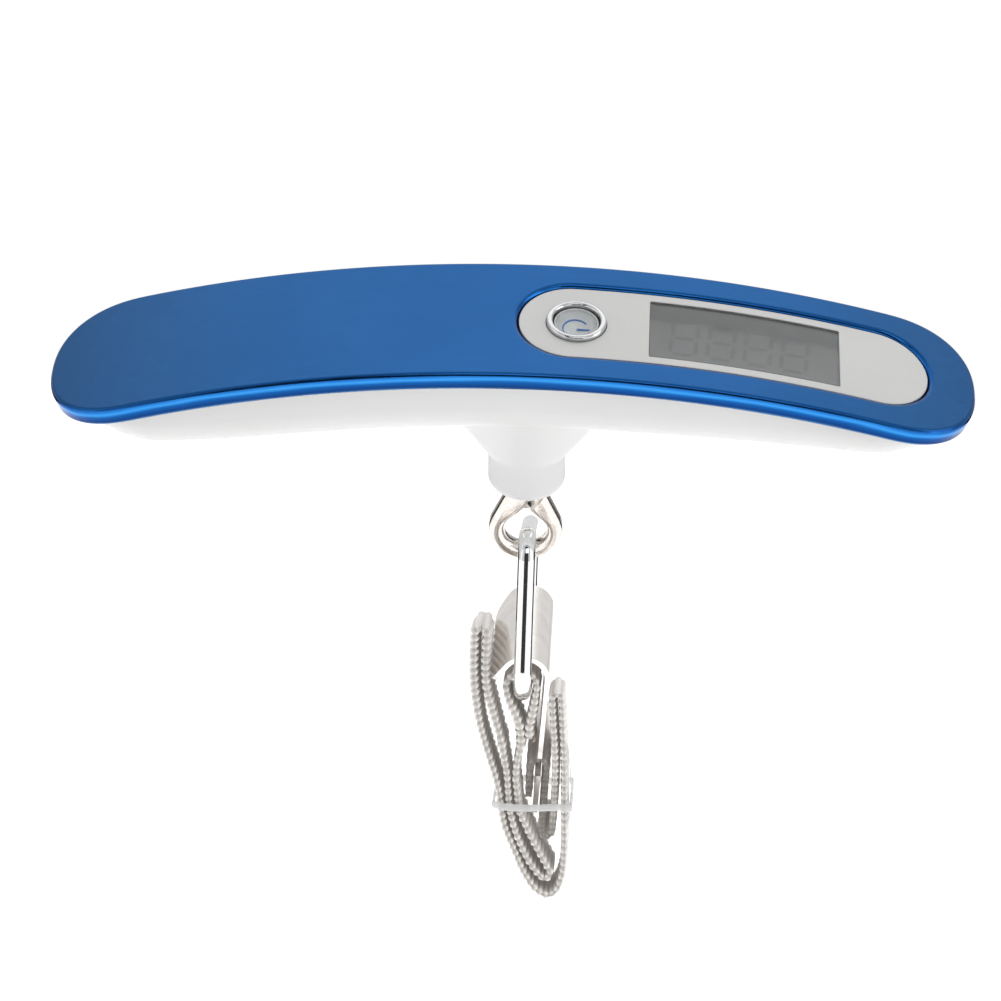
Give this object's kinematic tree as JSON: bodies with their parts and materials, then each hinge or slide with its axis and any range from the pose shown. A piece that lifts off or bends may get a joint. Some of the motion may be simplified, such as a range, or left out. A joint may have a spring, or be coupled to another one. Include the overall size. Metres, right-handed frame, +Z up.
{
  "type": "digital luggage scale",
  "caption": "Hand-held luggage scale: arched grip with display and power button, swivel eye, wire ring, folded webbing strap and sheet metal hook",
  "frame": {"origin": "middle of the grip, where a hand holds it, on the axis of the stem", "axes": "+X along the handle towards the display end, -Y towards the user who reads the display, +Z up; the handle leans towards -Y and the ring, strap and hook hang plumb"},
  "size_m": [0.155, 0.0632, 0.109],
  "materials": {
    "blue_anodised": "satin blue with polished edges",
    "white_plastic": "fine satin",
    "silver_panel": "silver grey, smooth",
    "clear_plastic": "clear, glossy",
    "lcd_grey": "grey liquid crystal glass",
    "chrome": "mirror chrome",
    "satin_nickel": "satin nickel plate",
    "steel": "plain zinc plated",
    "aluminium": "milled",
    "board_green": "solder mask over glass laminate",
    "black_plastic": "moulded",
    "grey_rubber": "matt",
    "gauge_foil": "amber film",
    "brass": "stamped spring strip",
    "red_insulation": "wire insulation",
    "grey_webbing": "light grey ribbed polyester webbing"
  },
  "bodies": {
    "handle": {"top_cover": "blue_anodised", "lower_housing": "white_plastic", "lens_panel": "silver_panel", "display_window": "clear_plastic", "lcd_glass": "lcd_grey", "backlight_diffuser": "white_plastic", "zebra_strip_front": "grey_rubber", "zebra_strip_rear": "grey_rubber", "circuit_board": "board_green", "controller_chip": "black_plastic", "board_screw_front": "steel", "board_screw_rear": "steel", "button_ring": "chrome", "tactile_switch": "black_plastic", "load_cell": "aluminium", "load_cell_screw_left": "steel", "load_cell_screw_right": "steel", "strain_gauge_left": "gauge_foil", "strain_gauge_right": "gauge_foil", "stem_bush": "black_plastic", "coin_cell": "steel", "battery_carrier": "black_plastic", "battery_spring_contact": "brass", "battery_side_contact": "brass", "battery_lead_red": "red_insulation", "battery_lead_black": "black_plastic", "gauge_lead": "red_insulation"},
    "power_button": {"power_button": "clear_plastic"},
    "battery_door": {"battery_door": "white_plastic"},
    "eye": {"eye_hook": "satin_nickel", "stem_nut": "steel", "stem_washer": "steel"},
    "ring": {"wire_ring": "chrome"},
    "hook": {"hook_plate": "satin_nickel"},
    "strap": {"webbing_strap": "grey_webbing", "tie_band": "clear_plastic"}
  },
  "joints": [
    {"name": "power_button_press", "type": "slide", "parent": "handle", "child": "power_button", "axis": [-0.0341, 0.5917, -0.8055], "range_m": [0, 0.0005], "stiffness_N_per_m": 3000},
    {"name": "battery_door_pull", "type": "slide", "parent": "handle", "child": "battery_door", "axis": [0.1824, 0.5821, -0.7924], "range_m": [0, 0.008]},
    {"name": "eye_swivel", "type": "hinge", "parent": "handle", "child": "eye", "pos_m": [0, 0.02256, -0.03071], "axis": [0, -0.592, 0.8059], "continuous": true},
    {"name": "ring_swing", "type": "hinge", "parent": "eye", "child": "ring", "pos_m": [0.0006, 0.02256, -0.03071], "axis": [0, 1, 0], "range_deg": [-80, 80]},
    {"name": "strap_swing", "type": "hinge", "parent": "ring", "child": "strap", "pos_m": [0.0006, 0.02256, -0.05751], "axis": [0, 1, 0], "range_deg": [-10, 45]},
    {"name": "hook_swing", "type": "hinge", "parent": "ring", "child": "hook", "pos_m": [0.0006, 0.02256, -0.05751], "axis": [0, 1, 0], "range_deg": [-10, 45]}
  ],
  "couplings": [
    {"joint": "hook_swing", "follows": "strap_swing", "ratio": 1}
  ]
}
